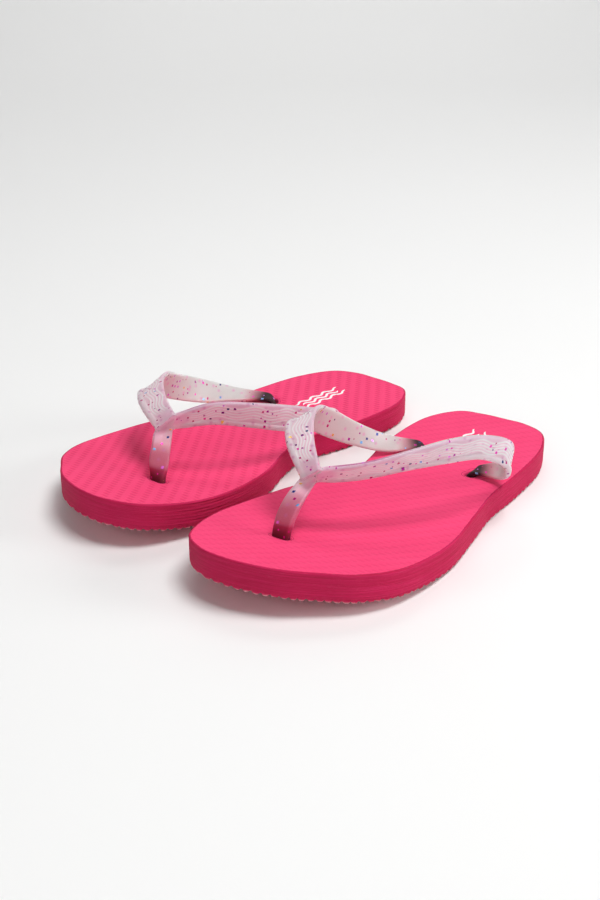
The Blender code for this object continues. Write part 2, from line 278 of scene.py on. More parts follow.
# ---- meshes -----------------------------------------------------------------
def to_row(points, name):
    """Shoe positions in mm to the row frame in metres."""
    side, mx, my = SHOES[name]
    p = np.asarray(points, float)
    x, y = side * p[:, 1], -p[:, 0]
    c, s = math.cos(side * TOE_OUT), math.sin(side * TOE_OUT)
    return np.column_stack([mx + x * c - y * s, my + x * s + y * c, p[:, 2]]) * MM


def mesh_object(name, points, faces, shoe, attributes, sharp=38):
    """A mesh object from shoe positions, with vector attributes for its material."""
    mesh = bpy.data.meshes.new(name)
    mesh.from_pydata(to_row(points, shoe).tolist(), [], faces)
    bm = bmesh.new()
    bm.from_mesh(mesh)
    bmesh.ops.recalc_face_normals(bm, faces=bm.faces)
    bm.to_mesh(mesh)
    bm.free()
    for key, values in attributes.items():
        layer = mesh.attributes.new(key, "FLOAT_VECTOR", "POINT")
        layer.data.foreach_set("vector", np.asarray(values, np.float32).ravel())
    mesh.shade_smooth()
    mesh.set_sharp_from_angle(angle=math.radians(sharp))
    obj = bpy.data.objects.new(name, mesh)
    bpy.context.scene.collection.objects.link(obj)
    return obj


def inside(points, polygon):
    """Which points lie inside a polygon."""
    x, y = points[:, 0], points[:, 1]
    hit = np.zeros(len(points), bool)
    px, py = polygon[:, 0], polygon[:, 1]
    qx, qy = np.roll(px, -1), np.roll(py, -1)
    for a, b, c, d in zip(px, py, qx, qy):
        if b != d:
            hit ^= ((b > y) != (d > y)) & (x < (c - a) * (y - b) / (d - b) + a)
    return hit


def filled(rings, step, margin):
    """Triangles over an outline with holes.  rings[0] is the outline, the rest are holes."""
    outer = rings[0]
    low, high = outer.min(0), outer.max(0)
    rows = np.arange(low[0], high[0], step * 0.866)
    grid = []
    for k, r in enumerate(rows):
        c = np.arange(low[1] + (k % 2) * step / 2, high[1], step)
        grid.append(np.column_stack([np.full(len(c), r), c]))
    grid = np.vstack(grid)
    keep = inside(grid, outer)
    for h in rings[1:]:
        keep &= ~inside(grid, h)
    grid = grid[keep]
    tree = KDTree(sum(len(r) for r in rings))
    n = 0
    for r in rings:
        for p in r:
            tree.insert((p[0], p[1], 0), n)
            n += 1
    tree.balance()
    grid = np.array([g for g in grid if tree.find((g[0], g[1], 0))[2] > margin])
    points = np.vstack(rings + [grid])
    edges, start = [], 0
    for r in rings:
        edges += [(start + i, start + (i + 1) % len(r)) for i in range(len(r))]
        start += len(r)
    out, _, faces, orig, _, _ = delaunay_2d_cdt([Vector(p) for p in points], edges, [], 0, 1e-6)
    if len(out) != len(points):
        raise RuntimeError("the fill merged or added points")
    index = np.array([o[0] for o in orig])
    tri = index[np.array([list(f) for f in faces])]
    centre = points[tri].mean(1)
    good = inside(centre, outer)
    for h in rings[1:]:
        good &= ~inside(centre, h)
    return points, tri[good]


class Shell:
    """Collects rings and faces of one closed mesh, and each point's kind of surface."""

    def __init__(self):
        self.points, self.kinds, self.faces = [], [], []

    def add(self, points, kind):
        start = sum(len(p) for p in self.points)
        self.points.append(np.asarray(points, float))
        self.kinds.append(np.full(len(points), kind))
        return np.arange(start, start + len(points))

    def bridge(self, a, b):
        n = len(a)
        self.faces += [(int(a[i]), int(a[(i + 1) % n]), int(b[(i + 1) % n]), int(b[i]))
                       for i in range(n)]


# ---- the slab ---------------------------------------------------------------
def dashes(ahead, out):
    """How deep the footbed's rows of short dashes are at a point, 0 to 1."""
    row = np.floor(ahead / ROW_PITCH)
    in_row = ahead / ROW_PITCH - row
    phase = (out + ROW_SHIFT * row) / DASH_PITCH
    in_dash = phase - np.floor(phase)
    across = smooth_step(0.12, 0.42, in_row) * smooth_step(0.88, 0.58, in_row)
    along = smooth_step(0.05, 0.2, in_dash) * smooth_step(0.68, 0.53, in_dash)
    return across * along


def tread(ahead, out):
    """How deep the tread's crossing grooves are at a point, 0 to 1."""
    deep = 0.0
    for s in (1, -1):
        wave = (ahead + s * out * 0.9) / TREAD_PITCH
        gap = np.abs(wave - np.floor(wave) - 0.5) * 2
        deep = np.maximum(deep, smooth_step(0.48, 0.2, gap))
    return deep


def cut_marks(line, h, name):
    """How far the wall stands out at height h: fine lines, and wrinkles inside the ball."""
    u, w = line[:, 0], line[:, 1]
    grain = (0.025 * ripple(u * 0.05 + h * 7.7, w * 0.05 + h * 9.1, 3 + SHOES[name][0])
             + 0.02 * ripple(u * 0.45 + h * 3.1, w * 0.45 + h * 5.3, 7))
    ball = np.exp(-((u - 62) / 22) ** 2) * (w < 0)
    deep = 0.5 + 0.5 * np.sin(h * 4.4 + 0.6 * ripple(u * 0.09, w * 0.09, 5) + u * 0.05)
    grain = grain - BALL_WRINKLES[name] * ball * deep ** 6
    grain = grain - 0.03 * (1 + ripple(u * 1.9 + h, w * 1.9 + h * 3.7, 9)) / 2
    return np.minimum(grain, CUT_STAND_OUT)


def distance_to(ring, points):
    """How far each point is from the nearest point of a ring."""
    tree = KDTree(len(ring))
    for i, p in enumerate(ring):
        tree.insert((p[0], p[1], 0), i)
    tree.balance()
    return np.array([tree.find((p[0], p[1], 0))[2] for p in points])


def slab_object(name, holes):
    """A foam slab: its wall, its three holes with their recesses, its footbed and tread."""
    perimeter = lengths([Vector(p) for p in closed_curve(OUTLINE, 400)])[-1]
    count = int(perimeter / OUTLINE_STEP / 2) * 2
    line = np.array([[p.x, p.y] for p in closed_curve(OUTLINE, count)])
    along = np.roll(line, -1, 0) - np.roll(line, 1, 0)
    along /= np.linalg.norm(along, axis=1)[:, None]
    outward = np.column_stack([-along[:, 1], along[:, 0]])
    if (line * outward).sum() < 0:
        outward = -outward
    shell = Shell()

    # the side wall, from the tread's edge up over the footbed's edge
    heights = [0.0, 0.25, 0.6, 1.1, 1.7] + list(np.arange(2.3, 11.4, 0.42)) + [
        11.62, 11.86, 12.02, 12.12, 12.17, SOLE_THICKNESS]
    profile = [(0.0, 1.3), (0.25, 0.8), (0.6, 0.45), (1.1, 0.2), (1.7, 0.1), (3.0, 0.03),
               (11.5, 0.03), (11.62, 0.05), (11.86, 0.13), (12.02, 0.24), (12.12, 0.36),
               (12.17, 0.48), (SOLE_THICKNESS, 0.62)]
    rings = []
    for h in heights:
        inset = float(np.interp(h, [a for a, _ in profile], [b for _, b in profile]))
        flat = line - outward * inset
        if CUTS_LOW < h < CUTS_HIGH:
            flat = line - outward * (inset - cut_marks(line, h, name))[:, None]
        z = h + tread(flat[:, 0], flat[:, 1]) * TREAD_DEPTH * max(0.0, 1 - h / 3.0)
        rings.append(shell.add(np.column_stack([flat, z + lift(flat[:, 0])]), WALL))
    for a, b in zip(rings, rings[1:]):
        shell.bridge(a, b)

    # the holes, each from its rim in the footbed down to its recess in the tread
    top_rims, bottom_rims = [], []
    for slot, across, inwards, foot, half_length in holes:
        angle = math.tau * np.arange(SLOT_POINTS) / SLOT_POINTS
        c, s = np.cos(angle), np.sin(angle)
        power = 0.62
        shape = (np.sign(c) * np.abs(c) ** power, np.sign(s) * np.abs(s) ** power)
        across2, inwards2 = np.array(across[:2]), np.array(inwards[:2])
        centre, plug = np.array(slot[:2]), np.array(foot[:2])
        base = float(lift(foot[0]))

        def level(flat, height, follow):
            rise = lift(flat[:, 0]) if follow else np.full(SLOT_POINTS, base)
            return shell.add(np.column_stack([flat, height + rise]), HOLE)

        def ring(extra, height, follow):
            half = NECK_WIDTH / 2 + SLOT_CLEARANCE - 0.35 + extra
            flat = (centre + np.outer(shape[0] * half, across2)
                    + np.outer(shape[1] * (half_length - 0.35 + extra), inwards2))
            return level(flat, height, follow)

        def circle(radius, height, follow):
            flat = plug + np.outer(c * radius, across2) + np.outer(s * radius, inwards2)
            return level(flat, height, follow)

        chain = [ring(0.75, SOLE_THICKNESS - 0.34, True), ring(0.35, SOLE_THICKNESS - 0.52, True),
                 ring(0.08, SOLE_THICKNESS - 0.95, True), ring(0.0, SOLE_THICKNESS - 2, True),
                 ring(0.0, PLUG_RECESS + 0.8, False), ring(0.3, PLUG_RECESS, False),
                 circle(PLUG_RADIUS + GAP - 0.3, PLUG_RECESS, False),
                 circle(PLUG_RADIUS + GAP, PLUG_RECESS - 0.3, False),
                 circle(PLUG_RADIUS + GAP, TREAD_DEPTH + 0.45, False),
                 circle(PLUG_RADIUS + GAP + 0.25, TREAD_DEPTH + 0.1, True)]
        for a, b in zip(chain, chain[1:]):
            shell.bridge(a, b)
        top_rims.append(chain[0])
        bottom_rims.append(chain[-1])

    # the footbed and the tread, filled between those rims
    every = np.vstack(shell.points)
    for outer, holes_in, step, bottom in ((rings[-1], top_rims, FOOTBED_STEP, False),
                                          (rings[0], bottom_rims, TREAD_STEP, True)):
        rims = [every[outer][:, :2]] + [every[r][:, :2] for r in holes_in]
        points, tri = filled(rims, step, step * 0.6)
        known = np.concatenate([outer] + list(holes_in))
        fresh = points[len(known):]
        edge = distance_to(rims[0], fresh)
        hole = np.min([distance_to(r, fresh) for r in rims[1:]], axis=0)
        if bottom:
            z = tread(fresh[:, 0], fresh[:, 1]) * TREAD_DEPTH * smooth_step(0.0, 1.0, hole)
            z = z + (TREAD_DEPTH + 0.1) * (1 - smooth_step(0.0, 1.2, hole)) * (hole < 1.2)
        else:
            dent = dashes(fresh[:, 0], fresh[:, 1]) * smooth_step(0.8, 2.0, edge)
            z = (SOLE_THICKNESS - DASH_DEPTH[name] * dent
                 - 0.34 * np.exp(-(hole / 1.5) ** 2)
                 - 0.05 * ripple(fresh[:, 0] * 0.06, fresh[:, 1] * 0.06, 2)
                 * smooth_step(0.5, 8, edge))
        new = shell.add(np.column_stack([fresh, z + lift(fresh[:, 0])]),
                        TREAD if bottom else FOOTBED)
        index = np.concatenate([known, new])
        shell.faces += [tuple(int(i) for i in t) for t in index[tri]]

    pts = np.vstack(shell.points)
    kinds = np.concatenate(shell.kinds)
    # how deep each dash is, which the material paints as shade in the groove
    dent = np.zeros(len(pts))
    top = kinds == FOOTBED
    dent[top] = (dashes(pts[top, 0], pts[top, 1])
                 * DASH_DEPTH[name] / DASH_DEPTH["right"])
    place = np.column_stack([pts[:, :2], pts[:, 2] - lift(pts[:, 0])])
    surface = np.column_stack([kinds, dent, np.zeros(len(pts))])
    return mesh_object(name + "_slab", pts, shell.faces, name,
                       {"place": place, "surface": surface}, sharp=50)


# ---- the strap --------------------------------------------------------------
def section(width, thickness):
    """A rounded flat section: (share across, distance from the low rim, height, face)."""
    r = min(FACE_ROUNDING, thickness / 2 - 0.02)
    corner = [r * (1 - math.cos(math.radians(a))) for a in (0, 22, 42, 60, 76)]

    def half(points, sign):
        middle = list(np.linspace(r, width - r, points))
        xs = corner + middle + [width - c for c in reversed(corner)]
        out = []
        for x in xs:
            d = min(x, width - x)
            z = thickness / 2
            if d < r:
                z = thickness / 2 - r + math.sqrt(max(0.0, r * r - (r - d) ** 2))
            out.append((x / width - 0.5, x, sign * z, sign))
        return out

    return half(OUTER_POINTS, 1) + list(reversed(half(INNER_POINTS, -1)))


def relief(x, along, total, width):
    """Moulded detail of an arm's outer face: a bead on the low rim, and wavy ridges."""
    bead = BEAD_HEIGHT * math.sqrt(max(0.0, 1 - ((x - BEAD_WIDTH / 2) / (BEAD_WIDTH / 2)) ** 2))
    bead *= float(smooth_step(2, 8, along) * smooth_step(total - 14, total - 24, along))
    show = float(smooth_step(5, 10, along) * smooth_step(total - 20, total - 30, along))
    if show <= 0:
        return bead, 0.0
    scale = width / FULL_ARM_WIDTH
    swing = WAVE_HEIGHT * math.sin(math.tau * along / WAVE_LENGTH)
    ridge = 0.0
    for k in range(WAVE_LINES):
        centre = (WAVE_FIRST + k * WAVE_GAP) * scale + swing
        ridge = max(ridge, math.exp(-((x - centre) / RIDGE_WIDTH) ** 2))
    return bead + RIDGE_HEIGHT * show * ridge, show * ridge


def ribbon(high, low, thick, outwards, with_relief, end_shade_ramp, name, shoe, arm):
    """A closed, finely sectioned strip between two rims."""
    high, low = np.array([list(p) for p in high]), np.array([list(p) for p in low])
    mid = (high + low) / 2
    n = len(mid)
    along = np.gradient(mid, axis=0)
    across = high - low
    width = np.linalg.norm(across, axis=1)
    normal = np.cross(along, across)
    normal /= np.linalg.norm(normal, axis=1)[:, None]
    for i in range(1, n):
        if normal[i] @ normal[i - 1] < 0:
            normal[i] = -normal[i]
    if normal[int(n * 0.45)] @ np.array(outwards) < 0:
        normal = -normal
    arc = np.concatenate([[0], np.cumsum(np.linalg.norm(np.diff(mid, axis=0), axis=1))])
    points, detail, mould, faces = [], [], [], []
    for i in range(n):
        for s, x, z, face in section(width[i], thick[i]):
            ridge = 0.0
            if with_relief and face > 0:
                edge = float(smooth_step(0, 0.8, min(x, width[i] - x)))
                rise, ridge = relief(x, arc[i], arc[-1], width[i])
                z += rise * edge
            points.append(mid[i] + across[i] * s + normal[i] * z)
            detail.append((arc[i] + arm * PART_SHIFT, x + (0 if face > 0 else BACK_SHIFT),
                           end_shade_ramp(arc[i], arc[-1])))
            mould.append((ridge, face, width[i] - x))
    m = len(points) // n
    for i in range(n - 1):
        for j in range(m):
            k = (j + 1) % m
            faces.append((i * m + j, i * m + k, (i + 1) * m + k, (i + 1) * m + j))
    faces.append(tuple(range(m)))
    faces.append(tuple(range((n - 1) * m, n * m))[::-1])
    return mesh_object(name, points, faces, shoe, {"detail": detail, "mould": mould})


def plug_object(name, shoe, centre, base):
    """The round plug under the sole: soft edges and a shallow dish in its face."""
    low = base + PLUG_LIFT
    high = low + PLUG_HEIGHT
    profile = [(0.4, low + 0.45), (2.2, low + 0.45), (2.8, low + 0.1), (3.4, low + 0.0),
               (5.7, low), (6.25, low + 0.22), (PLUG_RADIUS, low + 0.7),
               (PLUG_RADIUS, high - 0.7), (6.25, high - 0.2), (5.7, high), (0.4, high)]
    points, faces = [], []
    for r, z in profile:
        for i in range(PLUG_SIDES):
            a = math.tau * i / PLUG_SIDES
            points.append((centre[0] + r * math.cos(a), centre[1] + r * math.sin(a), z))
    for i in range(len(profile) - 1):
        here, above = i * PLUG_SIDES, (i + 1) * PLUG_SIDES
        for j in range(PLUG_SIDES):
            k = (j + 1) % PLUG_SIDES
            faces.append((here + j, here + k, above + k, above + j))
    faces.append(tuple(range(PLUG_SIDES)))
    faces.append(tuple(range(len(points) - PLUG_SIDES, len(points)))[::-1])
    return mesh_object(name, points, faces, shoe,
                       {"detail": [(p[0] + 3 * PART_SHIFT, p[1], 1.0) for p in points],
                        "mould": [(0.0, -1.0, 0.0)] * len(points)})


def united(name, pieces):
    """One mesh from overlapping closed ones, its joins softened as in a moulding."""
    source, values = [], {"detail": [], "mould": []}
    for p in pieces:
        co = np.zeros(len(p.data.vertices) * 3)
        p.data.vertices.foreach_get("co", co)
        source.append(co.reshape(-1, 3))
        for key, stored in values.items():
            at = np.zeros(len(co))
            p.data.attributes[key].data.foreach_get("vector", at)
            stored.append(at.reshape(-1, 3))
    source = np.vstack(source)
    main = pieces[0]
    for other in pieces[1:]:
        mod = main.modifiers.new("join", "BOOLEAN")
        mod.operation, mod.solver, mod.object = "UNION", "EXACT", other
    bpy.context.view_layer.update()
    graph = bpy.context.evaluated_depsgraph_get()
    mesh = bpy.data.meshes.new_from_object(main.evaluated_get(graph))
    mesh.name = name
    for p in pieces:
        bpy.data.objects.remove(p)
    for key in values:
        if key in mesh.attributes:
            mesh.attributes.remove(mesh.attributes[key])
    tree = KDTree(len(source))
    for i, p in enumerate(source):
        tree.insert(p, i)
    tree.balance()
    bm = bmesh.new()
    bm.from_mesh(mesh)
    bmesh.ops.remove_doubles(bm, verts=bm.verts, dist=2e-6)
    bmesh.ops.recalc_face_normals(bm, faces=bm.faces)
    bm.verts.ensure_lookup_table()
    found = [tree.find(v.co) for v in bm.verts]
    seam = [v.index for v, f in zip(bm.verts, found) if f[2] > 2e-6]
    if seam:
        near = KDTree(len(seam))
        for k, i in enumerate(seam):
            near.insert(bm.verts[i].co, k)
        near.balance()
        weight = {}
        for v in bm.verts:
            d = near.find(v.co)[2]
            if d < SEAM_REACH * MM:
                weight[v] = math.exp(-(d / (SEAM_SOFTNESS * MM)) ** 2)
        for _ in range(SEAM_PASSES):
            moved = {}
            for v, w in weight.items():
                ring = [e.other_vert(v).co for e in v.link_edges]
                mean = sum(ring, Vector()) / len(ring)
                moved[v] = v.co.lerp(mean, 0.5 * w)
            for v, co in moved.items():
                v.co = co
    bm.to_mesh(mesh)
    bm.free()
    nearest = [f[1] for f in found]
    for key, stored in values.items():
        layer = mesh.attributes.new(key, "FLOAT_VECTOR", "POINT")
        layer.data.foreach_set("vector", np.vstack(stored)[nearest].astype(np.float32).ravel())
    mesh.materials.clear()
    mesh.shade_smooth()
    mesh.set_sharp_from_angle(angle=math.radians(60))
    obj = bpy.data.objects.new(name, mesh)
    bpy.context.scene.collection.objects.link(obj)
    return obj


def resampled(rim_a, rim_b, step):
    """Both rims as smooth curves at close, even stations."""
    a, b = open_curve(rim_a, 12), open_curve(rim_b, 12)
    measure = lengths([(p + q) / 2 for p, q in zip(a, b)])
    count = int(measure[-1] / step)
    eased = []
    for rim in (evenly(a, count, measure), evenly(b, count, measure)):
        rim = np.array([list(p) for p in rim])
        reach = int(5.0 / step)
        share = np.exp(-(np.arange(-reach, reach + 1) * step / 2.2) ** 2)
        share /= share.sum()
        padded = np.vstack([rim[:1]] * reach + [rim] + [rim[-1:]] * reach)
        soft = np.column_stack([np.convolve(padded[:, k], share, "valid") for k in range(3)])
        left = measure[-1] * (1 - np.arange(count) / (count - 1))
        use = smooth_step(30, 22, left) * smooth_step(2, 6, left)
        eased.append([Vector(p) for p in rim + (soft - rim) * use[:, None]])
    return eased


def strap_object(name):
    """One moulded strap with its plugs, and where its post and arms go through the slab."""
    spec = STRAPS[name]
    crotch = above_footbed(spec["outer"]["high"][0], 0.0)
    (rim_a, rim_b), toe = post_rims(spec, crotch)
    n = len(rim_a)
    taper = [POST_THICKNESS + (ARM_THICKNESS - POST_THICKNESS) * max(0.0, i / (n - 1) - 0.4) / 0.6
             for i in range(n)]
    pieces = [ribbon(rim_a, rim_b, taper, (1, 0, 0.6), False,
                     lambda a, total: float(smooth_step(17, 9.5, a)),
                     name + "_post", name, 0)]
    holes = [((toe.x, toe.y), (0, 1), (1, 0), (toe.x, toe.y),
              NECK_THICKNESS / 2 + SLOT_CLEARANCE)]
    plugs = [(toe, float(lift(toe.x)))]
    for k, arm in enumerate(("outer", "inner")):
        high, low, slot, across, inwards, foot = arm_rims(spec[arm])
        bare = len(high)
        thick = [ARM_THICKNESS + (NECK_THICKNESS - ARM_THICKNESS)
                 * min(1.0, max(0.0, (i - ARM_STATIONS) / 4)) for i in range(bare)]
        high, low = resampled(high, low, STRAP_STEP)
        share = np.linspace(0, bare - 1, len(high))
        thick = np.interp(share, range(bare), thick)
        sign = 1 if arm == "outer" else -1
        pieces.append(ribbon(high, low, thick, (0.3, sign, 0.4), True,
                             lambda a, whole: float(smooth_step(whole - 28, whole - 11.5, a)),
                             f"{name}_{arm}", name, k + 1))
        holes.append(((slot.x, slot.y), across, inwards, (foot.x, foot.y), 2.9))
        plugs.append((foot, 0.0))
    for k, (at, base) in enumerate(plugs):
        pieces.append(plug_object(f"{name}_plug_{k}", name, (at.x, at.y), base))
    return united(name + "_toe_post_strap", pieces), holes


# ---- the printed motif ------------------------------------------------------
def print_object(name):
    """Three small waves printed in white on the heel."""
    points, faces = [], []
    steps = 70
    for k in range(3):
        start = len(points)
        length = (1.0, 0.8, 1.0)[k] * PRINT_LENGTH[name]
        for i in range(steps + 1):
            t = i / steps
            ahead = PRINT_MIDDLE + (t - 0.5) * length
            turn = math.tau * ahead / PRINT_WAVE
            out = (k - 1) * PRINT_PITCH + PRINT_OUT[name] + PRINT_SWING * math.sin(turn)
            slope = PRINT_SWING * math.tau / PRINT_WAVE * math.cos(turn)
            nrm = np.array([-slope, 1.0]) / math.hypot(slope, 1.0)
            w = PRINT_HALF_WIDTH * min(1.0, math.sqrt(max(0.02, 1 - abs(2 * t - 1) ** 6)))
            for sgn in (-1, 1):
                for z, grow in ((SOLE_THICKNESS - 0.3, 1.0), (SOLE_THICKNESS + 0.03, 1.0),
                                (SOLE_THICKNESS + 0.07, 0.8)):
                    points.append((ahead + nrm[0] * w * sgn * grow,
                                   out + nrm[1] * w * sgn * grow, z))
        ring = [0, 1, 2, 5, 4, 3]
        for i in range(steps):
            a, b = start + i * 6, start + (i + 1) * 6
            for j in range(6):
                p, q = ring[j], ring[(j + 1) % 6]
                faces.append((a + p, a + q, b + q, b + p))
        faces.append(tuple(start + r for r in ring))
        faces.append(tuple(start + steps * 6 + r for r in reversed(ring)))
    return mesh_object(name + "_heel_waves", points, faces, name,
                       {"place": points}, sharp=60)


# ---- materials --------------------------------------------------------------
class Nodes:
    """Short forms for building a node tree."""

    def __init__(self, name):
        self.material = bpy.data.materials.new(name)
        self.material.use_nodes = True
        self.tree = self.material.node_tree
        self.shader = self.tree.nodes["Principled BSDF"]

    def new(self, kind, **settings):
        node = self.tree.nodes.new(kind)
        for key, value in settings.items():
            setattr(node, key, value)
        return node

    def link(self, source, target):
        self.tree.links.new(source, target)

    def feed(self, value, socket):
        if hasattr(value, "is_output"):
            self.link(value, socket)
        else:
            socket.default_value = value

    def math(self, operation, *values, clamp=False):
        node = self.new("ShaderNodeMath", operation=operation, use_clamp=clamp)
        for value, socket in zip(values, node.inputs):
            self.feed(value, socket)
        return node.outputs[0]

    def attribute(self, name):
        return self.new("ShaderNodeAttribute", attribute_name=name).outputs["Vector"]

    def split(self, vector):
        node = self.new("ShaderNodeSeparateXYZ")
        self.link(vector, node.inputs[0])
        return node.outputs

    def scaled(self, vector, factors):
        node = self.new("ShaderNodeVectorMath", operation="MULTIPLY")
        self.link(vector, node.inputs[0])
        node.inputs[1].default_value = factors
        return node.outputs[0]

    def noise(self, vector, scale, detail=3.0, roughness=0.5):
        node = self.new("ShaderNodeTexNoise")
        self.link(vector, node.inputs["Vector"])
        node.inputs["Scale"].default_value = scale
        node.inputs["Detail"].default_value = detail
        node.inputs["Roughness"].default_value = roughness
        return node.outputs["Fac"]

    def mix(self, factor, a, b):
        node = self.new("ShaderNodeMix", data_type="RGBA")
        self.feed(factor, node.inputs["Factor"])
        for value, socket in ((a, node.inputs[6]), (b, node.inputs[7])):
            self.feed(value if hasattr(value, "is_output") else (*value, 1.0), socket)
        return node.outputs[2]

    def steps(self, factor, stops, interpolation="LINEAR"):
        node = self.new("ShaderNodeValToRGB")
        node.color_ramp.interpolation = interpolation
        ramp = node.color_ramp.elements
        while len(ramp) < len(stops):
            ramp.new(0.5)
        for element, (at, colour) in zip(ramp, stops):
            element.position = at
            element.color = (*colour, 1.0) if hasattr(colour, "__len__") else (colour,) * 3 + (1,)
        self.link(factor, node.inputs["Fac"])
        return node.outputs["Color"]

    def bump(self, height, distance, strength=1.0, under=None):
        node = self.new("ShaderNodeBump")
        node.inputs["Strength"].default_value = strength
        node.inputs["Distance"].default_value = distance
        self.link(height, node.inputs["Height"])
        if under is not None:
            self.link(under, node.inputs["Normal"])
        return node.outputs["Normal"]


def foam_material():
    n = Nodes("pink_foam")
    place = n.attribute("place")
    kind, dent = n.split(n.attribute("surface"))[:2]
    height = n.split(place)[2]
    wall = n.math("COMPARE", kind, WALL, 0.45)
    tread_face = n.math("COMPARE", kind, TREAD, 0.45)
    # closed-cell foam: very fine grain, broad faint mottling
    cells = n.noise(place, 2.6, 4.0, 0.6)
    cloud = n.noise(place, 0.045, 3.0, 0.55)
    # knife marks run round the wall, level with the slab; the wall is also painted darker than the
    # footbed, painted shade on the sides of the same foam
    marks = n.noise(n.scaled(place, (0.035, 0.035, 2.6)), 1.0, 5.0, 0.65)
    fine = n.noise(n.scaled(place, (0.3, 0.3, 5.5)), 1.0, 3.0, 0.6)
    colour = n.mix(cloud, FOAM["deep"], FOAM["bright"])
    # painted shade: the dashes are painted darker, standing for the shade in their grooves
    colour = n.mix(n.math("MULTIPLY", dent, 0.30), colour, FOAM["dash_shade"])
    colour = n.mix(n.math("MULTIPLY", n.math("SUBTRACT", cells, 0.5, clamp=True), 0.7),
                   colour, FOAM["cell"])
    marks_and_wall_shade = n.steps(marks, [(0.30, FOAM["cut_dark_shade"]), (0.5, FOAM["cut"]),
                             (0.70, FOAM["cut_pale_shade"])])
    colour = n.mix(n.math("MULTIPLY", wall, 0.82), colour, marks_and_wall_shade)
    speck = n.steps(fine, [(0.60, 0.0), (0.74, 1.0)])
    colour = n.mix(n.math("MULTIPLY", n.math("MULTIPLY", speck, wall), 0.12), colour,
                   FOAM["speck"])
    # the tread's studs and the wall's lowest edge are painted paler
    tip = n.math("SUBTRACT", 0.95, height, clamp=True)
    low = n.math("ADD", n.math("MULTIPLY", wall, tip), n.math("MULTIPLY", tread_face, tip),
                 clamp=True)
    colour = n.mix(n.math("MULTIPLY", low, 0.95, clamp=True), colour, FOAM["paler_low"])
    n.link(colour, n.shader.inputs["Base Color"])
    rough = n.math("MULTIPLY_ADD", cells, 0.18, 0.60)
    n.link(rough, n.shader.inputs["Roughness"])
    n.shader.inputs["Specular IOR Level"].default_value = 0.1
    height_map = n.math("ADD", n.math("MULTIPLY", cells, 0.5),
                        n.math("MULTIPLY", wall, n.math("ADD", n.math("MULTIPLY", marks, 1.5),
                                                        n.math("MULTIPLY", fine, 0.9))))
    n.link(n.bump(height_map, 0.00012, 0.9), n.shader.inputs["Normal"])
    return n.material


